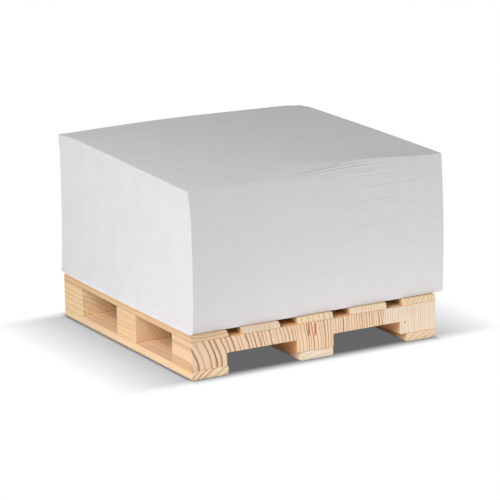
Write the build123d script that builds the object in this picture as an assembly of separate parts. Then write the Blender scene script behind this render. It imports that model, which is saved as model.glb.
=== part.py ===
from build123d import *
import os

# A pad of white memo paper on a mini pallet of bare softwood.
# X runs to the right along the front, Y to the rear, Z up; the origin is under the pallet's centre.
# All sizes are in millimetres.

# Pallet footprint
pallet_width = 97.8
pallet_depth = 97.8

# Skids: thin runners under the feet, from front to rear
skid_thickness = 3.15
skid_width = 13.33
skid_width_shares = [1.07, 0.99, 0.90]
middle_skid_shift = 0.5
skid_edge_round = 0.5

# Bearers: comb-shaped slices across a milled board, with a narrow strip glued to one edge
bearer_height = 10.25
bearer_thickness = 14.3
foot_width = 14.5
foot_width_shares = [0.965, 1.0, 1.0]
arch_height = 4.6
arch_corner_round = 0.5
end_strip_width = 21.1

# Deck boards: sawn thin and laid by hand, so widths and gaps differ
deck_thickness = 2.3
board_width = 14.33
board_width_shares = [1.047, 1.054, 0.973, 1.012, 0.914]
board_gap_shares = [0.199, 0.270, 0.271, 0.260]

# Brads of square wire with a flat head, which hold boards and skids to the bearers
pin_side = 1.0
pin_head_length = 1.8
pin_head_thickness = 0.4
pin_point_length = 1.2
pin_recess = 0.2
pin_stagger = 3.5
pin_clearance = 0.03
deck_pin_length = 6.4
skid_pin_length = 8.0

# Memo block: square sheets glued along the left edge, on a backing card
sheet_side = 100.0
sheet_thickness = 0.1
lower_stack_height = 46.7
packet_height = 3.4
stack_bow = 0.65
spine_glue_thickness = 0.25
card_thickness = 0.2
card_slip = 2.2
block_shift_x = 2.75
block_shift_y = 2.37

# How far a cut runs past the face that it enters
overrun = 1.0

# Heights where one layer meets the next
skid_top = skid_thickness
deck_bottom = skid_top + bearer_height
deck_top = deck_bottom + deck_thickness
card_top = deck_top + card_thickness
packet_bottom = card_top + lower_stack_height
packet_top = packet_bottom + packet_height
block_top = packet_top + sheet_thickness

# Edges and centres that several pieces share
pallet_left = -pallet_width / 2
pallet_right = pallet_width / 2
pallet_front = -pallet_depth / 2
pallet_rear = pallet_depth / 2
seam_x = pallet_right - end_strip_width
bearer_fronts = [pallet_front, -bearer_thickness / 2, pallet_rear - bearer_thickness]
bearer_centres = [front + bearer_thickness / 2 for front in bearer_fronts]
sheet_left = block_shift_x - sheet_side / 2
sheet_right = block_shift_x + sheet_side / 2
sheet_front = block_shift_y - sheet_side / 2
glue_left = sheet_left - spine_glue_thickness


def band(x_low, x_high, z_low, z_high):
    """A rectangle in the front plane, between two edges and two heights."""
    middle = Pos((x_low + x_high) / 2, (z_low + z_high) / 2)
    return middle * Rectangle(x_high - x_low, z_high - z_low)


def run_back(outline, y_front, depth):
    """A solid with an outline drawn in the front plane, running back from y_front."""
    return extrude(Plane.XZ.offset(-y_front - depth) * outline, depth)


def skid_spans():
    """Left and right edge of each skid: the outer two flush with the pallet, the middle one off centre."""
    widths = [skid_width * share for share in skid_width_shares]
    lefts = [pallet_left, middle_skid_shift - widths[1] / 2, pallet_right - widths[2]]
    return [(left, left + width) for left, width in zip(lefts, widths)]


def board_spans():
    """Left and right edge of each deck board: boards and gaps together fill the pallet's width."""
    widths = [board_width * share for share in board_width_shares]
    room = pallet_width - sum(widths)
    gaps = [room * share / sum(board_gap_shares) for share in board_gap_shares]
    spans = []
    left = pallet_left
    for width, gap in zip(widths, gaps + [0]):
        spans.append((left, left + width))
        left += width + gap
    return spans


def pin_places(spans, stagger):
    """Where brads go: on the middle of each board or skid, over each bearer."""
    return [((left + right) / 2, y + stagger) for left, right in spans for y in bearer_centres]


def brad(length, clearance=0, entry=0):
    """A brad pointing down from the origin, its head along Y; with clearance and entry, its hole."""
    head = pin_head_length / 2 + clearance
    half = pin_side / 2 + clearance
    shoulder = -pin_head_thickness - clearance
    point_start = pin_point_length - length
    tip = -length - clearance
    profile = Polyline((-head, entry), (head, entry), (head, shoulder), (half, shoulder), (half, point_start),
                       (0, tip), (-half, point_start), (-half, shoulder), (-head, shoulder), close=True)
    return extrude(Plane.YZ * make_face(profile), half, both=True)


def deck_brads(clearance=0, entry=0):
    """The brads driven down through the deck boards, or their holes."""
    places = pin_places(board_spans(), pin_stagger)
    pin = brad(deck_pin_length, clearance, entry)
    return [Pos(x, y, deck_top - pin_recess) * pin for x, y in places]


def skid_brads(clearance=0, entry=0):
    """The brads driven up through the skids, or their holes."""
    places = pin_places(skid_spans(), -pin_stagger)
    pin = Rot(X=180) * brad(skid_pin_length, clearance, entry)
    return [Pos(x, y, pin_recess) * pin for x, y in places]


deck_holes = deck_brads(pin_clearance, pin_recess + overrun)
skid_holes = skid_brads(pin_clearance, pin_recess + overrun)


def skid(x_left, x_right):
    """A runner with its lower long edges worn round."""
    outline = band(x_left, x_right, 0, skid_top)
    outline = fillet(outline.vertices().group_by(Axis.Y)[0], skid_edge_round)
    return run_back(outline, pallet_front, pallet_depth) - skid_holes


def comb():
    """Outline of a bearer: a beam on three feet, the arches milled with small round corners."""
    left, middle, right = [foot_width * share for share in foot_width_shares]
    arch_spans = [(pallet_left + left, -middle / 2), (middle / 2, pallet_right - right)]
    outline = band(pallet_left, pallet_right, skid_top, deck_bottom)
    for x_low, x_high in arch_spans:
        arch = RectangleRounded(x_high - x_low, 2 * arch_height, arch_corner_round)
        outline -= Pos((x_low + x_high) / 2, skid_top) * arch
    return outline


def bearer(y_front, x_left, x_right):
    """One glued-up width of a bearer: the comb between two upright edges, cut off to its thickness."""
    outline = comb() & band(x_left, x_right, skid_top, deck_bottom)
    return run_back(outline, y_front, bearer_thickness) - deck_holes - skid_holes


def deck_board(x_left, x_right):
    """A thin sawn board over all three bearers."""
    outline = band(x_left, x_right, deck_bottom, deck_top)
    return run_back(outline, pallet_front, pallet_depth) - deck_holes


def bowed_outline(x_left, x_right):
    """Outline of the stack, or of its glue, from the front: both edges bow to the right at mid-height."""
    z_middle = (card_top + block_top) / 2
    base = Line((x_left, card_top), (x_right, card_top))
    fore_edge = ThreePointArc((x_right, card_top), (x_right + stack_bow, z_middle), (x_right, block_top))
    top = Line((x_right, block_top), (x_left, block_top))
    spine = ThreePointArc((x_left, block_top), (x_left + stack_bow, z_middle), (x_left, card_top))
    return make_face([base, fore_edge, top, spine])


def stack_layer(x_left, x_right, z_low, z_high):
    """A layer of the bowed stack, or of its glue, between two heights."""
    layer = band(x_left - overrun, x_right + stack_bow + overrun, z_low, z_high)
    return run_back(bowed_outline(x_left, x_right) & layer, sheet_front, sheet_side)


def backing_card():
    """A flat card the size of a sheet, slipped towards the rear under the stack."""
    return run_back(band(sheet_left, sheet_right, deck_top, card_top), sheet_front + card_slip, sheet_side)


pieces = {}

for name, (left, right) in zip(("left_skid", "middle_skid", "right_skid"), skid_spans()):
    pieces[name] = skid(left, right)

for name, front in zip(("front_bearer", "middle_bearer", "rear_bearer"), bearer_fronts):
    pieces[name] = bearer(front, pallet_left, seam_x)
    pieces[name + "_strip"] = bearer(front, seam_x, pallet_right)

for number, (left, right) in enumerate(board_spans(), start=1):
    pieces[f"deck_board_{number}"] = deck_board(left, right)

pieces["deck_pins"] = Compound(children=deck_brads())
pieces["skid_pins"] = Compound(children=skid_brads())

pieces["backing_card"] = backing_card()
pieces["lower_sheets"] = stack_layer(sheet_left, sheet_right, card_top, packet_bottom)
pieces["upper_sheets"] = stack_layer(sheet_left, sheet_right, packet_bottom, packet_top)
pieces["top_sheet"] = stack_layer(sheet_left, sheet_right, packet_top, block_top)
pieces["lower_spine_glue"] = stack_layer(glue_left, sheet_left, card_top, packet_bottom)
pieces["upper_spine_glue"] = stack_layer(glue_left, sheet_left, packet_bottom, packet_top)

os.makedirs("parts", exist_ok=True)
for name, piece in pieces.items():
    export_step(piece, f"parts/{name}.step")
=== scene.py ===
import math

import bmesh
import bpy
from mathutils import Matrix, Vector


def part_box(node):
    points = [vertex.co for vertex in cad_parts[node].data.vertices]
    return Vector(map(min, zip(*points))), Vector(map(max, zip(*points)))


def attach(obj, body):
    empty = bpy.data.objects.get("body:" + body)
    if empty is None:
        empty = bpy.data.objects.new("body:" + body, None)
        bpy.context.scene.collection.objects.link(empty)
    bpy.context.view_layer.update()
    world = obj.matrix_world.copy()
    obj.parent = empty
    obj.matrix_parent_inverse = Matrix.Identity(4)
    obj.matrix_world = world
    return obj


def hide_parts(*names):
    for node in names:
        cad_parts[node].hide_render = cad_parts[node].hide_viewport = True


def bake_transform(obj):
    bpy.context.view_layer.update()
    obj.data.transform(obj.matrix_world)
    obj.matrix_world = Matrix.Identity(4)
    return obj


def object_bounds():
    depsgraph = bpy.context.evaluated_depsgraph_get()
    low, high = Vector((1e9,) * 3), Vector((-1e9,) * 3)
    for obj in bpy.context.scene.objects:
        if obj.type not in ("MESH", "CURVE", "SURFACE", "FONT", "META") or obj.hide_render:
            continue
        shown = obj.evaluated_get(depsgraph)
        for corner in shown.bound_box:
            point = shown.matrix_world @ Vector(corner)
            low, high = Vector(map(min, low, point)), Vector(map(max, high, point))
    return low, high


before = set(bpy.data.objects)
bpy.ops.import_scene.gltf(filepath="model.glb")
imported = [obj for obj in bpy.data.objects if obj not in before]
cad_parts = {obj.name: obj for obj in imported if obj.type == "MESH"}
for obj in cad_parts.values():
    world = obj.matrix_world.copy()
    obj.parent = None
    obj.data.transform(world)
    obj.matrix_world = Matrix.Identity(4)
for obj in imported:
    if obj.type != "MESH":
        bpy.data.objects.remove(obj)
cad_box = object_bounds()

# Skids: three thin pine runners that the pallet stands on.
# Each is a sawn lath with its lower long edges worn round, nailed up into the feet of the bearers.
# The left one tore a little at its right front corner when it was cut off.
millimetre = 0.001


def srgb(red, green, blue):
    """A colour as it is seen, in steps of 255, turned by sRGB's own curve into a shader's light values."""
    shares = [step / 255 for step in (red, green, blue)]
    light = [share / 12.92 if share <= 0.04045 else ((share + 0.055) / 1.055) ** 2.4 for share in shares]
    return (*light, 1.0)


class Flow:
    """A number in a node tree, which formulas can use like a plain one."""

    def __init__(self, tree, socket):
        self.tree = tree
        self.socket = socket

    def into(self, socket):
        """Feeds this number to a socket."""
        self.tree.links.new(self.socket, socket)

    def reckon(self, operation, *others):
        """Puts this number and others through a Math node."""
        node = self.tree.nodes.new("ShaderNodeMath")
        node.operation = operation
        self.into(node.inputs[0])
        for socket, other in zip(node.inputs[1:], others):
            feed(socket, other)
        return Flow(self.tree, node.outputs[0])

    def __add__(self, other):
        return self.reckon("ADD", other)

    def __radd__(self, other):
        return self.reckon("ADD", other)

    def __sub__(self, other):
        return self.reckon("SUBTRACT", other)

    def __rsub__(self, other):
        return self.reckon("MULTIPLY", -1).reckon("ADD", other)

    def __mul__(self, other):
        return self.reckon("MULTIPLY", other)

    def __rmul__(self, other):
        return self.reckon("MULTIPLY", other)

    def __truediv__(self, other):
        return self.reckon("DIVIDE", other)

    def __pow__(self, other):
        return self.reckon("POWER", other)

    def climb(self, low, high):
        """0 below low, 1 above high, and smooth between the two."""
        node = self.tree.nodes.new("ShaderNodeMapRange")
        node.interpolation_type = "SMOOTHSTEP"
        self.into(node.inputs["Value"])
        node.inputs["From Min"].default_value = low
        node.inputs["From Max"].default_value = high
        return Flow(self.tree, node.outputs["Result"])

    def hump(self, centre, reach):
        """1 at the centre, falling smoothly to 0 at the reach on both sides."""
        return 1 - (self - centre).reckon("ABSOLUTE").climb(0, reach)


def feed(socket, value):
    """Gives a socket a number, a colour or a Flow."""
    if isinstance(value, Flow):
        value.into(socket)
    else:
        socket.default_value = value


def split(tree, vector):
    """The three parts of a vector socket, as Flows."""
    node = tree.nodes.new("ShaderNodeSeparateXYZ")
    tree.links.new(vector, node.inputs[0])
    return [Flow(tree, part) for part in node.outputs]


def join(tree, *parts):
    """A vector socket made of three numbers or Flows."""
    node = tree.nodes.new("ShaderNodeCombineXYZ")
    for socket, part in zip(node.inputs, parts):
        feed(socket, part)
    return node.outputs[0]


def cloud(tree, x, y, z, detail=2.0):
    """Soft noise from 0 to 1, with one swell for each unit of x, y and z."""
    node = tree.nodes.new("ShaderNodeTexNoise")
    tree.links.new(join(tree, x, y, z), node.inputs["Vector"])
    node.inputs["Scale"].default_value = 1.0
    node.inputs["Detail"].default_value = detail
    return Flow(tree, node.outputs[0])


def tint(tree, share, under, over):
    """A colour socket that goes from one colour to another with the share."""
    node = tree.nodes.new("ShaderNodeMix")
    node.data_type = "RGBA"
    share.into(node.inputs[0])
    for socket, colour in ((node.inputs[6], under), (node.inputs[7], over)):
        if isinstance(colour, bpy.types.NodeSocket):
            tree.links.new(colour, socket)
        else:
            socket.default_value = colour
    return node.outputs[2]


def new_finish(name):
    """A fresh material: its tree, its shader, and the place on the piece in millimetres as three Flows."""
    material = bpy.data.materials.new(name)
    material.use_nodes = True
    tree = material.node_tree
    shader = tree.nodes["Principled BSDF"]
    place = tree.nodes.new("ShaderNodeTexCoord").outputs["Object"]
    x, y, z = [part / millimetre for part in split(tree, place)]
    return material, tree, shader, (x, y, z)


def roughen(tree, shader, height, depth):
    """Small relief: the height runs from 0 to 1 over the depth."""
    bump = tree.nodes.new("ShaderNodeBump")
    bump.inputs["Strength"].default_value = 1.0
    bump.inputs["Distance"].default_value = depth
    height.into(bump.inputs["Height"])
    tree.links.new(bump.outputs["Normal"], shader.inputs["Normal"])


pine_pale = srgb(248, 216, 176)
pine_line = srgb(180, 125, 78)
pine_blush = srgb(232, 150, 104)
pine_resin = srgb(212, 116, 72)
pine_gold = srgb(232, 160, 60)
pine_knot = srgb(110, 72, 44)

# Growth rings: how they sway and tremble along the trunk, how uneven the years are,
# and which part of a year's growth is dark late wood.
sway_across, sway_along = 0.06, 0.012
tremor_across, tremor_along = 0.9, 0.03
tremor_reach = 0.35
youngest_ring = 0.01
uneven_pitch = 0.45
uneven_reach = 1.6
weakest_year = 0.35
late_start = (0.45, 0.86)
late_end = (0.93, 1.0)

# Fibres on the sides, pores on the sawn ends and wide blushes, in swells for each millimetre.
fibre_across, fibre_along = 3.2, 0.09
pore_pitch = 4.5
blush_pitch = (0.09, 0.02, 0.16)
blush_share = 0.8
speckle_middle = 0.52
end_slope = (0.6, 0.9)
gold_share = 0.2
# Painted golden bounce light on the shaded side faces within this many millimetres of the pallet's middle.
painted_bounce_limit = (45, 48)
streak_sway = 0.3
streak_core = 0.6
streak_start = 0.8
streak_end = 0.4
speck_core = 0.5
pine_roughness = 0.55
pine_roughness_spread = 0.25
pine_gloss = 0.3
fibre_share = 0.8
grain_depth = 0.12 * millimetre


def pine(name, pith, ring, ring_power=1.0, pale=pine_pale, line=pine_line, line_share=0.8, side_share=0.5,
         wander=1.5, speckle_share=0.9, painted_bounce_share=0.0, streaks=(), specks=()):
    """Bare planed pine with its grain along Y: growth rings round a pith line, fibres, and rough sawn ends.

    The pith is given as X and Z in millimetres, and ring is the radius of the first growth ring.
    With a ring power over 1 the rings lie closer further out, as they do in a real trunk.
    The sides are more golden than the ends. The side faces near the middle lie in shade, and the share given
    makes them more golden still: painted golden bounce light.
    A resin streak is its X, half its width, and the heights where it starts and ends; a speck of knot
    is its X, Z and radius, all in millimetres.
    """
    material, tree, shader, (x, y, z) = new_finish(name)
    pith_x, pith_z = pith
    sway = cloud(tree, x * sway_across, y * sway_along, z * sway_across + pith_x, detail=3.0) - 0.5
    tremor = cloud(tree, x * tremor_across, y * tremor_along, z * tremor_across) - 0.5
    radius = ((x - pith_x) ** 2 + (z - pith_z) ** 2) ** 0.5 + sway * wander * 2 + tremor * tremor_reach
    age = (radius / ring).reckon("MAXIMUM", youngest_ring) ** ring_power
    age = age + (cloud(tree, age * uneven_pitch, 0.0, pith_z, detail=1.0) - 0.5) * uneven_reach
    season = age.reckon("FRACT")
    year = tree.nodes.new("ShaderNodeTexWhiteNoise")
    year.noise_dimensions = "1D"
    age.reckon("FLOOR").into(year.inputs["W"])
    vigour = Flow(tree, year.outputs["Value"]) * (1 - weakest_year) + weakest_year
    latewood = season.climb(*late_start) * (1 - season.climb(*late_end)) * vigour

    normal = split(tree, tree.nodes.new("ShaderNodeNewGeometry").outputs["Normal"])
    sawn_end = normal[1].reckon("ABSOLUTE").climb(*end_slope)
    fibres = cloud(tree, x * fibre_across, y * fibre_along, z * fibre_across, detail=3.0)
    pores = cloud(tree, x * pore_pitch, y * pore_pitch, z * pore_pitch)
    blush = cloud(tree, x * blush_pitch[0], y * blush_pitch[1], z * blush_pitch[2])
    speckle = sawn_end * pores + (1 - sawn_end) * fibres

    wood = tint(tree, latewood * line_share * (sawn_end * (1 - side_share) + side_share), pale, line)
    wood = tint(tree, (speckle - speckle_middle) * speckle_share, wood, line)
    wood = tint(tree, (blush - 0.5) * blush_share, wood, pine_blush)
    # Painted golden bounce light: the side faces near the pallet's middle, in shade under the deck and in the
    # tunnels, take more gold.
    painted_bounce = 1 - x.reckon("ABSOLUTE").climb(*painted_bounce_limit)
    wood = tint(tree, (1 - sawn_end) * (painted_bounce * painted_bounce_share + gold_share), wood, pine_gold)
    for streak_x, half_width, low, high in streaks:
        streak = (x + tremor * streak_sway - streak_x).reckon("ABSOLUTE")
        streak = (1 - streak.climb(half_width * streak_core, half_width)) * z.climb(low, low + streak_start)
        wood = tint(tree, streak * (1 - z.climb(high - streak_end, high)), wood, pine_resin)
    for speck_x, speck_z, speck_radius in specks:
        speck = ((x - speck_x) ** 2 + (z - speck_z) ** 2) ** 0.5
        dark = (1 - speck.climb(speck_radius * speck_core, speck_radius)) * sawn_end
        wood = tint(tree, dark, wood, pine_knot)
    tree.links.new(wood, shader.inputs["Base Color"])
    (speckle * pine_roughness_spread + pine_roughness).into(shader.inputs["Roughness"])
    shader.inputs["Specular IOR Level"].default_value = pine_gloss
    roughen(tree, shader, speckle * fibre_share + latewood * (1 - fibre_share), grain_depth)
    return material


sawn_edge = 0.22 * millimetre
sawn_edge_steps = 2
sharp_angle = math.radians(30)
flat_angle = math.radians(1)
same_place = 0.001 * millimetre
end_reach = 0.01 * millimetre


def eased_copy(node, name):
    """A copy of a wooden CAD piece, with its outer edges broken as a quick sanding leaves them."""
    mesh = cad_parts[node].data.copy()
    mesh.name = name
    low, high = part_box(node)
    shape = bmesh.new()
    shape.from_mesh(mesh)
    bmesh.ops.remove_doubles(shape, verts=shape.verts, dist=same_place)
    bmesh.ops.dissolve_limit(shape, angle_limit=flat_angle, verts=shape.verts, edges=shape.edges)
    outer = {vert for vert in shape.verts if min(vert.co.y - low.y, high.y - vert.co.y) < end_reach}
    worn = []
    for edge in shape.edges:
        on_outside = outer.intersection(edge.verts)
        if on_outside and edge.is_manifold and edge.calc_face_angle() > sharp_angle:
            worn.append(edge)
    bmesh.ops.bevel(shape, geom=worn, offset=sawn_edge, segments=sawn_edge_steps, profile=0.5, affect="EDGES")
    shape.to_mesh(mesh)
    shape.free()
    return mesh


def put(name, mesh, material):
    """Puts a finished mesh into the scene as a piece."""
    piece = bpy.data.objects.new(name, mesh)
    bpy.context.scene.collection.objects.link(piece)
    mesh.materials.clear()
    mesh.materials.append(material)
    return piece


def put_timber(node, material):
    """Puts a wooden piece of the pallet in place of its CAD node."""
    name = node + "_timber"
    piece = put(name, eased_copy(node, name), material)
    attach(piece, "pallet")
    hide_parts(node)
    return piece


skid_cuts = {
    "left_skid": pine(
        "left_skid_pine", pith=(-7, -47), ring=2.0, pale=srgb(254, 229, 196),
        line_share=1.0, side_share=0.28, wander=1.0,
    ),
    "middle_skid": pine(
        "middle_skid_pine", pith=(8, -60), ring=1.5, pale=srgb(247, 231, 211), line_share=0.4,
    ),
    "right_skid": pine(
        "right_skid_pine", pith=(70, -40), ring=1.8, pale=srgb(243, 217, 189), line_share=0.45,
    ),
}
skids = {node: put_timber(node, wood) for node, wood in skid_cuts.items()}

# Torn fibres: the height of each, how far it stands out, and its radius, in millimetres.
splinters = [
    (0.45, 0.4, 0.25),
    (0.95, 0.75, 0.22),
    (1.5, 0.4, 0.25),
    (2.05, 0.8, 0.22),
    (2.55, 0.5, 0.2),
    (2.9, 0.3, 0.15),
]
splinter_root = 0.4 * millimetre
splinter_sides = 5


def tear(skid, low, high):
    """Adds the torn fibres to a skid, on its right face at the front end, pointing right."""
    torn = bmesh.new()
    torn.from_mesh(skid.data)
    for height, reach, girth in splinters:
        length = splinter_root + reach * millimetre
        radius = girth * millimetre
        middle = Vector((high.x - splinter_root + length / 2, low.y + radius, height * millimetre))
        place = Matrix.Translation(middle) @ Matrix.Rotation(math.radians(90), 4, "Y")
        bmesh.ops.create_cone(torn, cap_ends=True, segments=splinter_sides, radius1=radius, radius2=0,
                              depth=length, matrix=place)
    torn.to_mesh(skid.data)
    torn.free()


tear(skids["left_skid"], *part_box("left_skid"))

# Bearers: three comb-shaped pine blocks across the skids, which make the feet and the fork tunnels.
# Each is sliced off the end of a milled, glued-up board, so its front shows end grain,
# and it is a wide block with a narrow strip of another board glued on at the right.
bearer_cuts = {
    "front_bearer": pine(
        "front_bearer_pine", pith=(-62, 2), ring=6.77, ring_power=1.58, pale=srgb(250, 220, 189),
        line=srgb(156, 99, 56), line_share=1.0, side_share=0.4, painted_bounce_share=0.35,
        streaks=[(-2.65, 0.45, 8.2, 13.3), (-0.05, 0.45, 8.0, 13.2)],
    ),
    "middle_bearer": pine(
        "middle_bearer_pine", pith=(-70, 34), ring=1.3, pale=srgb(252, 221, 182),
        line_share=0.3, side_share=1.0, wander=3.0, speckle_share=1.8,
    ),
    "rear_bearer": pine(
        "rear_bearer_pine", pith=(-88, -64), ring=1.7, pale=srgb(255, 230, 188),
        line_share=0.42, side_share=1.0,
    ),
}
for node, wood in bearer_cuts.items():
    put_timber(node, wood)

strip_cuts = {
    "front_bearer_strip": pine(
        "front_strip_pine", pith=(110, 6), ring=0.9, pale=srgb(248, 230, 208),
        line_share=0.4, painted_bounce_share=0.35, specks=[(36.4, 7.4, 0.35)],
    ),
    "middle_bearer_strip": pine("middle_strip_pine", pith=(96, -12), ring=1.1, line_share=0.5),
    "rear_bearer_strip": pine("rear_strip_pine", pith=(104, 18), ring=1.0, line_share=0.5),
}
for node, wood in strip_cuts.items():
    put_timber(node, wood)

# Deck boards: five thin pine slats over the bearers, which carry the paper.
# They are sawn thin from different boards, so each has its own grain, and are nailed down by hand.
# The saw ran out of true on some, so their right edges slant.
deck_cuts = {
    "deck_board_1": pine(
        "deck_pine_1", pith=(-40, 60), ring=1.1, pale=srgb(238, 208, 172),
        line=srgb(140, 92, 54), line_share=1.0,
    ),
    "deck_board_2": pine("deck_pine_2", pith=(-150, 34), ring=1.3, pale=srgb(240, 221, 197), line_share=0.5),
    "deck_board_3": pine("deck_pine_3", pith=(60, 20), ring=2.2, pale=srgb(246, 225, 192), line_share=0.5),
    "deck_board_4": pine("deck_pine_4", pith=(150, 24), ring=1.1, pale=srgb(247, 225, 198), line_share=0.4),
    "deck_board_5": pine("deck_pine_5", pith=(-10, 45), ring=1.2, pale=srgb(249, 223, 190), line_share=0.7),
}
deck = {node: put_timber(node, wood) for node, wood in deck_cuts.items()}

# Slanting right edges: how far the top of each stands back from its bottom, in millimetres.
edge_slants = {"deck_board_1": 0.9, "deck_board_2": 0.8, "deck_board_3": 0.4, "deck_board_4": 0.2}
edge_width = 1.0 * millimetre
for node, slant in edge_slants.items():
    low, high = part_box(node)
    for vertex in deck[node].data.vertices:
        if vertex.co.x > high.x - edge_width:
            vertex.co.x -= slant * millimetre * (vertex.co.z - low.z) / (high.z - low.z)

# Brads: short steel pins of square wire with a flat head, driven in a little below the wood.
# Fifteen go down through the deck boards and nine go up through the skids.
brad_side = 1.0 * millimetre
brad_head_length = 1.8 * millimetre
brad_head_thickness = 0.4 * millimetre
brad_point_length = 1.2 * millimetre
brad_point_taper = 0.9
deck_brad_length = 6.4 * millimetre
skid_brad_length = 8.0 * millimetre
brad_stagger = 3.5 * millimetre
brad_sink = 0.2 * millimetre
steel_bright = srgb(196, 192, 186)
steel_dull = srgb(150, 146, 140)
steel_roughness = 0.28
steel_roughness_spread = 0.3
dent_range = (0.35, 0.7)
dent_pitch = 3
scratch_pitch = (12, 1.5, 12)
scratch_share = 0.3
dent_depth = 0.03 * millimetre


def steel(name):
    """Bright drawn wire, a little dull and scratched where it was driven."""
    material, tree, shader, (x, y, z) = new_finish(name)
    dents = cloud(tree, x * dent_pitch, y * dent_pitch, z * dent_pitch, detail=3.0)
    scratches = cloud(tree, x * scratch_pitch[0], y * scratch_pitch[1], z * scratch_pitch[2])
    metal = tint(tree, dents.climb(*dent_range), steel_bright, steel_dull)
    tree.links.new(metal, shader.inputs["Base Color"])
    shader.inputs["Metallic"].default_value = 1.0
    (scratches * steel_roughness_spread + steel_roughness).into(shader.inputs["Roughness"])
    roughen(tree, shader, dents * (1 - scratch_share) + scratches * scratch_share, dent_depth)
    return material


def new_tree(name, sizes):
    """A Geometry Nodes tree with named inputs: the tree, its inputs as sockets, and its output node."""
    tree = bpy.data.node_groups.new(name, "GeometryNodeTree")
    for label, kind in {"Geometry": "Geometry", **sizes}.items():
        tree.interface.new_socket(label, in_out="INPUT", socket_type="NodeSocket" + kind)
    tree.interface.new_socket("Geometry", in_out="OUTPUT", socket_type="NodeSocketGeometry")
    inputs = tree.nodes.new("NodeGroupInput").outputs
    return tree, inputs, tree.nodes.new("NodeGroupOutput")


def step(tree, kind, **inputs):
    """Adds a node and feeds its named inputs: a socket, a Flow or a plain value for each."""
    node = tree.nodes.new(kind)
    for label, value in inputs.items():
        socket = node.inputs[label.replace("_", " ")]
        if isinstance(value, bpy.types.NodeSocket):
            tree.links.new(value, socket)
        else:
            feed(socket, value)
    return node


def close(tree, instances, material, output):
    """Ends a tree: the copies become plain mesh and take their material."""
    real = step(tree, "GeometryNodeRealizeInstances", Geometry=instances)
    painted = step(tree, "GeometryNodeSetMaterial", Geometry=real.outputs[0], Material=material)
    tree.links.new(painted.outputs[0], output.inputs[0])


def grow(name, seedling, tree, values):
    """Runs a tree on a mesh and gives the result as a plain mesh."""
    host = bpy.data.objects.new(name, seedling)
    bpy.context.scene.collection.objects.link(host)
    modifier = host.modifiers.new(name, "NODES")
    modifier.node_group = tree
    for item in tree.interface.items_tree:
        if item.in_out == "INPUT" and item.name in values:
            modifier[item.identifier] = values[item.name]
    host.update_tag()
    grown = bpy.data.meshes.new_from_object(host.evaluated_get(bpy.context.evaluated_depsgraph_get()))
    grown.name = name
    bpy.data.objects.remove(host)
    return grown


def brad_tree():
    """One brad at every point of the mesh: a head along the grain, a shank and a chisel point, along Z."""
    tree, inputs, output = new_tree("brads", {
        "Side": "Float", "Head length": "Float", "Head thickness": "Float",
        "Length": "Float", "Point length": "Float", "Up": "Float", "Steel": "Material",
    })
    side, head_length, head_thickness, length, point_length, up = [
        Flow(tree, inputs[label])
        for label in ("Side", "Head length", "Head thickness", "Length", "Point length", "Up")
    ]
    shank_length = length - head_thickness - point_length
    head = step(tree, "GeometryNodeMeshCube", Size=join(tree, side, head_length, head_thickness))
    shank = step(tree, "GeometryNodeMeshCube", Size=join(tree, side, side, shank_length))
    point = step(tree, "GeometryNodeMeshCube", Size=join(tree, side, side, point_length))
    head_place = step(tree, "GeometryNodeTransform", Geometry=head.outputs[0],
                      Translation=join(tree, 0.0, 0.0, head_thickness * -0.5))
    shank_place = step(tree, "GeometryNodeTransform", Geometry=shank.outputs[0],
                       Translation=join(tree, 0.0, 0.0, head_thickness * -1 - shank_length * 0.5))
    corner = split(tree, tree.nodes.new("GeometryNodeInputPosition").outputs[0])
    pinch = corner[2].climb(-end_reach, end_reach) - 1
    edge = step(tree, "GeometryNodeSetPosition", Geometry=point.outputs[0],
                Offset=join(tree, 0.0, corner[1] * pinch * brad_point_taper, 0.0))
    point_place = step(tree, "GeometryNodeTransform", Geometry=edge.outputs[0],
                       Translation=join(tree, 0.0, 0.0, point_length * 0.5 - length))
    whole = tree.nodes.new("GeometryNodeJoinGeometry")
    for made in (head_place, shank_place, point_place):
        tree.links.new(made.outputs[0], whole.inputs[0])
    turned = step(tree, "GeometryNodeTransform", Geometry=whole.outputs[0],
                  Rotation=join(tree, (1 - up) * (math.pi / 2), 0.0, 0.0))
    brads = step(tree, "GeometryNodeInstanceOnPoints", Points=inputs["Geometry"], Instance=turned.outputs[0])
    close(tree, brads.outputs[0], inputs["Steel"], output)
    return tree


def brads(name, carriers, up, stagger, surface, length, material, tree):
    """Brads in a row over each bearer, on the middle of each carrying piece; up is 1, or -1 for head down."""
    places = bmesh.new()
    for carrier in carriers:
        low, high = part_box(carrier)
        for bearer in bearer_cuts:
            front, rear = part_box(bearer)
            places.verts.new(((low.x + high.x) / 2, (front.y + rear.y) / 2 + stagger, surface))
    rows = bpy.data.meshes.new(name + "_places")
    places.to_mesh(rows)
    places.free()
    grown = grow(name, rows, tree, {
        "Side": brad_side, "Head length": brad_head_length, "Head thickness": brad_head_thickness,
        "Length": length, "Point length": brad_point_length, "Up": up, "Steel": material,
    })
    piece = put(name, grown, material)
    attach(piece, "pallet")
    return piece


brad_wire = steel("brad_wire")
brad_nodes = brad_tree()
deck_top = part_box("deck_board_1")[1].z
deck_brads = brads("deck_brads", deck_cuts, 1.0, brad_stagger, deck_top - brad_sink,
                   deck_brad_length, brad_wire, brad_nodes)
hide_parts("deck_pins")
skid_brads = brads("skid_brads", skid_cuts, -1.0, -brad_stagger, brad_sink,
                   skid_brad_length, brad_wire, brad_nodes)
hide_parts("skid_pins")

# Backing card: a sheet of grey-white board as large as the paper, under the pad.
# It slipped a little to the rear when the pad was glued, so its rear edge shows.
card_low, card_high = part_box("backing_card")
card_cuts = 20
card_grey = srgb(214, 211, 206)
card_white = srgb(226, 223, 219)
card_fleck = srgb(176, 170, 162)
card_roughness = 0.7
card_roughness_spread = 0.2
card_gloss = 0.25
mottle_pitch = 0.5
mottle_range = (0.3, 0.7)
fleck_pitch = 4
fleck_range = (0.66, 0.8)
fleck_share = 0.4
fleck_depth = 0.03 * millimetre


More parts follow.
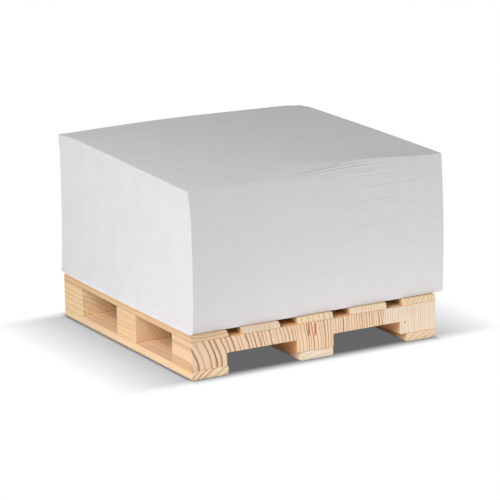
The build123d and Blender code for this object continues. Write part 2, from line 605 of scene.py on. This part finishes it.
def card_board(name):
    """Uncoated pulp board with faint mottling."""
    material, tree, shader, (x, y, z) = new_finish(name)
    mottle = cloud(tree, x * mottle_pitch, y * mottle_pitch, z * mottle_pitch, detail=4.0)
    fleck = cloud(tree, x * fleck_pitch, y * fleck_pitch, z * fleck_pitch)
    board = tint(tree, mottle.climb(*mottle_range), card_grey, card_white)
    board = tint(tree, fleck.climb(*fleck_range) * fleck_share, board, card_fleck)
    tree.links.new(board, shader.inputs["Base Color"])
    (mottle * card_roughness_spread + card_roughness).into(shader.inputs["Roughness"])
    shader.inputs["Specular IOR Level"].default_value = card_gloss
    roughen(tree, shader, fleck, fleck_depth)
    return material


def slab(low, high, cuts):
    """A flat closed box with its top and bottom cut into a grid."""
    shape = bmesh.new()
    rows = []
    for height in (low.z, high.z):
        layer = []
        for j in range(cuts + 1):
            y = low.y + (high.y - low.y) * j / cuts
            layer.append([
                shape.verts.new((low.x + (high.x - low.x) * i / cuts, y, height)) for i in range(cuts + 1)
            ])
        rows.append(layer)
    bottom, top = rows
    for j in range(cuts):
        for i in range(cuts):
            shape.faces.new((top[j][i], top[j][i + 1], top[j + 1][i + 1], top[j + 1][i]))
            shape.faces.new((bottom[j][i], bottom[j + 1][i], bottom[j + 1][i + 1], bottom[j][i + 1]))
    for i in range(cuts):
        shape.faces.new((bottom[0][i], bottom[0][i + 1], top[0][i + 1], top[0][i]))
        shape.faces.new((bottom[-1][i + 1], bottom[-1][i], top[-1][i], top[-1][i + 1]))
    for j in range(cuts):
        shape.faces.new((bottom[j + 1][0], bottom[j][0], top[j][0], top[j + 1][0]))
        shape.faces.new((bottom[j][-1], bottom[j + 1][-1], top[j + 1][-1], top[j][-1]))
    return shape


def to_mesh(shape, name):
    """Turns a shape that is finished into a plain mesh."""
    mesh = bpy.data.meshes.new(name)
    shape.to_mesh(mesh)
    shape.free()
    return mesh


card_mesh = to_mesh(slab(card_low, card_high, card_cuts), "pad_card")
card = put("pad_card", card_mesh, card_board("pad_card_board"))
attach(card, "paper_block")
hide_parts("backing_card")

# Lower sheets: the bulk of the pad, 467 sheets of white writing paper cut in one stack.
# The guillotine and the glue press leave the stack bowed, and its sheets a hair out of line.
sheet_left = card_low.x
sheet_right = card_high.x
sheet_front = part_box("lower_sheets")[0].y
sheet_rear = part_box("lower_sheets")[1].y
card_top = card_high.z
block_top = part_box("top_sheet")[1].z
stack_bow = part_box("lower_sheets")[1].x - sheet_right
sheet_pitch = 0.1 * millimetre
sheet_thickness = 0.096 * millimetre
lower_slip = 0.015 * millimetre
lower_seed = 3
lower_points = (9, 9, 2)
paper_thin = srgb(237, 235, 238)
paper_dense = srgb(239, 237, 240)
paper_roughness = 0.72
paper_roughness_spread = 0.12
paper_gloss = 0.2
formation_pitch = 0.35
formation_range = (0.3, 0.7)
tooth_pitch = 6
tooth_depth = 0.012 * millimetre


def memo_paper(name):
    """Uncoated white writing paper: soft fibre cloud, very slight tooth."""
    material, tree, shader, (x, y, z) = new_finish(name)
    formation = cloud(tree, x * formation_pitch, y * formation_pitch, z * formation_pitch, detail=4.0)
    tooth = cloud(tree, x * tooth_pitch, y * tooth_pitch, z * tooth_pitch)
    paper = tint(tree, formation.climb(*formation_range), paper_thin, paper_dense)
    tree.links.new(paper, shader.inputs["Base Color"])
    (tooth * paper_roughness_spread + paper_roughness).into(shader.inputs["Roughness"])
    shader.inputs["Specular IOR Level"].default_value = paper_gloss
    roughen(tree, shader, tooth, tooth_depth)
    return material


# The glued edge flares out at the top, and at the rear it leans out below and in above.
# How far it leans is given in millimetres.
flare_start = 0.86
flare_reach = 0.35 * millimetre
lean_out = 0.5
lean_in = 0.9

# The top rises towards the rear of the glued edge, where its corner turns down like a dog's ear,
# and sinks towards the other rear corner, which is blunt.
crown_height = 1.9 * millimetre
ear_span = (0.84, 1.02)
ear_power = 3
ear_drop = 1.3 * millimetre
droop_depth = 1.0 * millimetre
blunt_start = 0.92
blunt_drop = 0.55 * millimetre

# The top sheets swell along the front edge, most a little right of its middle.
front_depth = 0.22
swell_climb = (0.28, 0.58)
swell_fall = (0.64, 1.0)
swell_start = 0.84
swell_height = 1.8 * millimetre

# Where the sheets have come apart at the front edge: how far below the top and how wide, in millimetres,
# where along the edge as a share of it, and how far the gap runs to each side.
partings = [
    (0.3, 0.10, 0.50, 0.24),
    (0.9, 0.15, 0.54, 0.26),
    (1.7, 0.12, 0.58, 0.28),
    (2.9, 0.07, 0.66, 0.26),
    (4.6, 0.05, 0.74, 0.22),
    (8.1, 0.06, 0.78, 0.18),
    (12.9, 0.05, 0.72, 0.20),
    (15.6, 0.05, 0.82, 0.16),
    (21.4, 0.04, 0.68, 0.18),
]


def warp(x, y, z):
    """How far the pad's paper stands aside and up from a true block, for a place given as three Flows."""
    side = sheet_right - sheet_left
    along = (x - sheet_left) / side
    back = (y - sheet_front) / side
    rise = (z - card_top) / (block_top - card_top)
    bow = rise * (1 - rise) * (4 * stack_bow)
    flare = rise.climb(flare_start, 1.0) * (1 - along) * -flare_reach
    lean = (rise ** 2 * lean_in - lean_out) * (1 - along) * back * millimetre
    spine_side = 1 - along.climb(0.0, 1.0)
    crown = back * spine_side * crown_height
    dog_ear = back.climb(*ear_span) * spine_side ** ear_power * -ear_drop
    droop = (along * back) ** 2 * -droop_depth
    blunt = (along * back).climb(blunt_start, 1.0) * -blunt_drop
    lift = rise.climb(0.0, 1.0) * (crown + dog_ear + droop + blunt)
    front_edge = 1 - back.climb(0.0, front_depth)
    swell = along.climb(*swell_climb) * (1 - along.climb(*swell_fall))
    lift = lift + swell * front_edge * rise.climb(swell_start, 1.0) * swell_height
    for depth, opening, centre, reach in partings:
        above = z.reckon("GREATER_THAN", block_top - depth * millimetre)
        lift = lift + above * along.hump(centre, reach) * front_edge * (opening * millimetre)
    return bow + flare + lean, lift


def ream_tree():
    """A stack of sheets, each a thin closed slab a hair out of line, bent all together by the pad's warp."""
    tree, inputs, output = new_tree("ream", {
        "Sheets": "Int", "First": "Vector", "Pitch": "Float", "Size": "Vector",
        "Points across": "Int", "Points back": "Int", "Points up": "Int",
        "Slip": "Float", "Seed": "Int", "Paper": "Material",
    })
    sheet = step(tree, "GeometryNodeMeshCube", Size=inputs["Size"], Vertices_X=inputs["Points across"],
                 Vertices_Y=inputs["Points back"], Vertices_Z=inputs["Points up"])
    pile = step(tree, "GeometryNodeMeshLine", Count=inputs["Sheets"], Start_Location=inputs["First"],
                Offset=join(tree, 0.0, 0.0, Flow(tree, inputs["Pitch"])))
    stacked = step(tree, "GeometryNodeInstanceOnPoints", Points=pile.outputs[0], Instance=sheet.outputs[0])
    chance = tree.nodes.new("FunctionNodeRandomValue")
    chance.data_type = "FLOAT_VECTOR"
    chance.inputs[0].default_value = (0, -1, 0)
    tree.links.new(inputs["Seed"], chance.inputs["Seed"])
    slip = Flow(tree, inputs["Slip"])
    aside, back, _ = split(tree, chance.outputs[0])
    slipped = step(tree, "GeometryNodeTranslateInstances", Instances=stacked.outputs[0],
                   Translation=join(tree, aside * slip, back * slip, 0.0))
    real = step(tree, "GeometryNodeRealizeInstances", Geometry=slipped.outputs[0])
    place = tree.nodes.new("GeometryNodeInputPosition").outputs[0]
    aside, lift = warp(*split(tree, place))
    bent = step(tree, "GeometryNodeSetPosition", Geometry=real.outputs[0],
                Offset=join(tree, aside, 0.0, lift))
    close(tree, bent.outputs[0], inputs["Paper"], output)
    return tree


def ream(name, low, high, sheets, thickness, points, material, slip=0.0, seed=0):
    """A stack of bent sheets between two corners of the true block."""
    pitch = (high.z - low.z) / sheets
    middle = (low + high) / 2
    grown = grow(name, bpy.data.meshes.new(name + "_seed"), ream_nodes, {
        "Sheets": sheets, "First": (middle.x, middle.y, low.z + pitch / 2), "Pitch": pitch,
        "Size": (high.x - low.x, high.y - low.y, thickness),
        "Points across": points[0], "Points back": points[1], "Points up": points[2],
        "Slip": slip, "Seed": seed, "Paper": material,
    })
    return put(name, grown, material)


ream_nodes = ream_tree()
paper = memo_paper("memo_paper_white")
packet_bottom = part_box("upper_sheets")[0].z
packet_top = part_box("upper_sheets")[1].z
lower_count = round((packet_bottom - card_top) / sheet_pitch)
lower = ream("lower_ream", Vector((sheet_left, sheet_front, card_top)),
             Vector((sheet_right, sheet_rear, packet_bottom)), lower_count, sheet_thickness,
             lower_points, paper, slip=lower_slip, seed=lower_seed)
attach(lower, "paper_block")
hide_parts("lower_sheets")

# Spine glue: a thin film of white padding glue brushed over the left edge of the stack.
# It dries flexible, so the sheets above it can be leafed and torn off.
# At the bottom it ran out over the deck before it dried, in a low foot that fades towards the rear.
glue_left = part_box("lower_spine_glue")[0].x
glue_clean = srgb(240, 238, 241)
glue_smudged = srgb(237, 235, 238)
glue_roughness = 0.5
glue_roughness_spread = 0.2
glue_gloss = 0.3
brush_pitch = (1.0, 0.12, 2.2)
smudge_pitch = (0.2, 0.11, 0.13)
smudge_range = (0.35, 0.7)
brush_depth = 0.05 * millimetre


def padding_glue(name):
    """Dried white glue with faint brush marks and a few smudges."""
    material, tree, shader, (x, y, z) = new_finish(name)
    brushed = cloud(tree, x * brush_pitch[0], y * brush_pitch[1], z * brush_pitch[2], detail=3.0)
    smudge = cloud(tree, x * smudge_pitch[0], y * smudge_pitch[1], z * smudge_pitch[2])
    film = tint(tree, smudge.climb(*smudge_range), glue_clean, glue_smudged)
    tree.links.new(film, shader.inputs["Base Color"])
    (brushed * glue_roughness_spread + glue_roughness).into(shader.inputs["Roughness"])
    shader.inputs["Specular IOR Level"].default_value = glue_gloss
    roughen(tree, shader, brushed, brush_depth)
    return material


glue = padding_glue("padding_glue_white")
glue_clearance = 0.03 * millimetre
glue_bottom = card_low.z + glue_clearance
lower_glue_points = (2, 25, 48)
foot_reach = 0.9 * millimetre
foot_height = 0.35 * millimetre
foot_fade_share = 0.2
foot_row = 0.5 * millimetre
ankle_row = 1.5 * millimetre
lower_glue = ream("lower_glue_film", Vector((glue_left, sheet_front, glue_bottom)),
                  Vector((sheet_left, sheet_rear, packet_bottom)), 1, packet_bottom - glue_bottom,
                  lower_glue_points, glue)
for vertex in lower_glue.data.vertices:
    above_foot = vertex.co.z - glue_bottom
    if above_foot < foot_row:
        rear_share = (sheet_rear - vertex.co.y) / (sheet_rear - sheet_front)
        vertex.co.x -= foot_reach * min(1.0, rear_share / foot_fade_share)
    elif above_foot < ankle_row:
        vertex.co.z = glue_bottom + foot_height
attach(lower_glue, "paper_block")
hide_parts("lower_spine_glue")

upper_glue_points = (2, 25, 5)
bend_length = 12 * millimetre
bend_end = (glue_left + bend_length, 0.0, packet_bottom)
upper_glue = ream("upper_glue_film", Vector((glue_left, sheet_front, packet_bottom)),
                  Vector((sheet_left, sheet_rear, packet_top)), 1, packet_top - packet_bottom,
                  upper_glue_points, glue)
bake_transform(upper_glue)
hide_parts("upper_spine_glue")

# Upper sheets: the top 34 sheets of the pad, which can be leafed up together.
# They stay glued at the spine, where they would bend when leafed; here they lie closed on the stack, not bent
# at the spine.
upper_count = round((packet_top - packet_bottom) / sheet_pitch)
upper_slip = 0.02 * millimetre
upper_seed = 8
upper_points = (41, 17, 2)
upper = ream("upper_ream", Vector((sheet_left, sheet_front, packet_bottom)),
             Vector((sheet_right, sheet_rear, packet_top)), upper_count, sheet_thickness,
             upper_points, paper, slip=upper_slip, seed=upper_seed)
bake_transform(upper)
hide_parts("upper_sheets")

# Top sheet: the loose uppermost sheet, held only by the glue along its left edge.
# It is built as a root along the glued edge and the rest beyond it, which would turn over on its own; both
# lie closed here.
root_right = bend_end[0]
root_points = (13, 33, 2)
leaf_points = (61, 33, 2)
top_root = ream("top_sheet_root", Vector((sheet_left, sheet_front, packet_top)),
                Vector((root_right, sheet_rear, block_top)), 1, sheet_thickness, root_points, paper)
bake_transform(top_root)
top_leaf = ream("top_sheet_leaf", Vector((root_right, sheet_front, packet_top)),
                Vector((sheet_right, sheet_rear, block_top)), 1, sheet_thickness, leaf_points, paper)
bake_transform(top_leaf)
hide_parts("top_sheet")

# Floor: a plain white table, which the object stands on.
# To the camera it is white with a painted shadow: a dark hollow under the pallet, a soft band at both sides
# and a darker line where the wood stands on it.
# To the object it glows as a painted pool of light, brightest in front at the right, in place of light
# bounced off the table.
floor_reach = 4.0
floor_shade = 0.8
pallet_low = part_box("deck_board_1")[0]
pallet_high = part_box("deck_board_5")[1]
hollow_light = 0.133
hollow_border = (-1.0 * millimetre, 1.5 * millimetre)
side_light = 0.545
side_width = 28.5 * millimetre
end_border = (-2.9 * millimetre, 6.4 * millimetre)
contact_reach = 4 * millimetre
contact_range = (0.17, 0.8)
contact_samples = 16
pool_centre = (0.045, -0.06)
pool_reach = (0.05, 0.17)
pool_border = 2 * millimetre
pool_strength = 0.77
pool_warmth = 0.06


def white_floor(name):
    """A matt white surface with a painted shadow round the pallet for the camera, and a painted glow that
    lights the object.
    """
    material = bpy.data.materials.new(name)
    material.use_nodes = True
    material.cycles.emission_sampling = "NONE"
    tree = material.node_tree
    shader = tree.nodes["Principled BSDF"]
    path = tree.nodes.new("ShaderNodeLightPath").outputs
    seen = Flow(tree, path["Is Camera Ray"]).reckon("MAXIMUM", Flow(tree, path["Is Glossy Ray"]))
    x, y, _ = split(tree, tree.nodes.new("ShaderNodeTexCoord").outputs["Object"])
    aside = (x - pallet_high.x).reckon("MAXIMUM", pallet_low.x - x)
    before = (y - pallet_high.y).reckon("MAXIMUM", pallet_low.y - y)

    # Painted shadow for the camera: darkest under the pallet, fading out at both sides, with a painted
    # contact shadow from ambient occlusion.
    along_sides = 1 - before.climb(*end_border)
    beside = (1 - aside / side_width).reckon("MINIMUM", 1.0).reckon("MAXIMUM", 0.0) * along_sides
    under = (1 - aside.climb(*hollow_border)) * along_sides
    light = 1 - beside * (1 - side_light) - under * (side_light - hollow_light)
    crease = tree.nodes.new("ShaderNodeAmbientOcclusion")
    crease.samples = contact_samples
    crease.inputs["Distance"].default_value = contact_reach
    light = light * Flow(tree, crease.outputs["AO"]).climb(*contact_range).reckon("MAXIMUM", under)

    # Painted pool of light: for diffuse rays the floor in front glows, warm and strongest near the pool's
    # centre, and lights the object.
    from_pool = ((x - pool_centre[0]) ** 2 + (y - pool_centre[1]) ** 2) ** 0.5
    clear = aside.reckon("MAXIMUM", before).climb(0.0, pool_border)
    pool = Flow(tree, path["Is Diffuse Ray"]) * (1 - from_pool.climb(*pool_reach)) * clear * pool_strength
    shade = (1 - seen) * floor_shade
    tree.links.new(join(tree, shade, shade, shade), shader.inputs["Base Color"])
    shader.inputs["Roughness"].default_value = 1.0
    shader.inputs["Specular IOR Level"].default_value = 0.0
    tree.links.new(join(tree, 1.0, 1.0, 1 - (1 - seen) * pool_warmth), shader.inputs["Emission Color"])
    (seen * light + pool).into(shader.inputs["Emission Strength"])
    return material


corners = bmesh.new()
bmesh.ops.create_grid(corners, x_segments=1, y_segments=1, size=floor_reach)
floor = put("floor", to_mesh(corners, "floor"), white_floor("white_floor"))

# Light: a large soft lamp at the left and a small near one beside it give the pad its three tones.
# A low warm lamp at the right front and a weak one behind open the shadows, in a dim even room
# that shows white to the camera.
object_middle = (cad_box[0] + cad_box[1]) / 2


def soft_lamp(name, azimuth, elevation, distance, size, power, warmth=0.0):
    """A square lamp that looks at the object; azimuth 0 is in front of it and 90 at its right."""
    turn = math.radians(azimuth)
    tip = math.radians(elevation)
    lamp = bpy.data.lights.new(name, "AREA")
    lamp.size = size
    lamp.energy = power
    lamp.color = (1, 1, 1 - warmth)
    holder = bpy.data.objects.new(name, lamp)
    bpy.context.scene.collection.objects.link(holder)
    out = Vector((math.sin(turn) * math.cos(tip), -math.cos(turn) * math.cos(tip), math.sin(tip)))
    holder.location = object_middle + out * distance
    holder.rotation_euler = out.to_track_quat("Z", "Y").to_euler()
    holder.visible_camera = False


soft_lamp("left_lamp", azimuth=-64, elevation=36, distance=1.0, size=0.5, power=6.2)
soft_lamp("key_lamp", azimuth=-60, elevation=42, distance=0.34, size=0.085, power=0.125)
soft_lamp("right_lamp", azimuth=58, elevation=0, distance=0.35, size=0.2, power=0.24, warmth=0.06)
soft_lamp("rear_lamp", azimuth=160, elevation=6, distance=0.7, size=0.35, power=0.35)

room = bpy.data.worlds.new("room")
room.use_nodes = True
bpy.context.scene.world = room
room_shade = 0.125
room_path = room.node_tree.nodes.new("ShaderNodeLightPath").outputs
room_seen = Flow(room.node_tree, room_path["Is Camera Ray"])
for ray in ("Is Glossy Ray", "Is Transmission Ray"):
    room_seen = room_seen.reckon("MAXIMUM", Flow(room.node_tree, room_path[ray]))
room.node_tree.nodes["Background"].inputs["Color"].default_value = (1, 1, 1, 1)
(room_seen * (1 - room_shade) + room_shade).into(room.node_tree.nodes["Background"].inputs["Strength"])

# Camera: a long lens from the front left, a little above the pad.
# Its place, turn and lens were fitted to the edges of the pad and the pallet.
camera_azimuth = math.radians(-28.64)
camera_pitch = math.radians(14.96)
camera_roll = math.radians(-1.36)
camera_place = Vector((-0.6240, -1.1455, 0.3767))
camera = bpy.data.cameras.new("camera")
camera.sensor_width = 36.0
camera.lens = 272.3
camera.clip_start = 0.05
camera.clip_end = 50.0
viewer = bpy.data.objects.new("camera", camera)
bpy.context.scene.collection.objects.link(viewer)
away = Vector((
    math.sin(camera_azimuth) * math.cos(camera_pitch),
    -math.cos(camera_azimuth) * math.cos(camera_pitch),
    math.sin(camera_pitch),
))
right = Vector((0, 0, 1)).cross(away).normalized()
up = away.cross(right)
leaning_right = math.cos(camera_roll) * right + math.sin(camera_roll) * up
leaning_up = math.cos(camera_roll) * up - math.sin(camera_roll) * right
turned = Matrix((leaning_right, leaning_up, away)).transposed()
viewer.matrix_world = Matrix.Translation(camera_place) @ turned.to_4x4()
bpy.context.scene.camera = viewer
bpy.context.scene.view_settings.view_transform = "Standard"
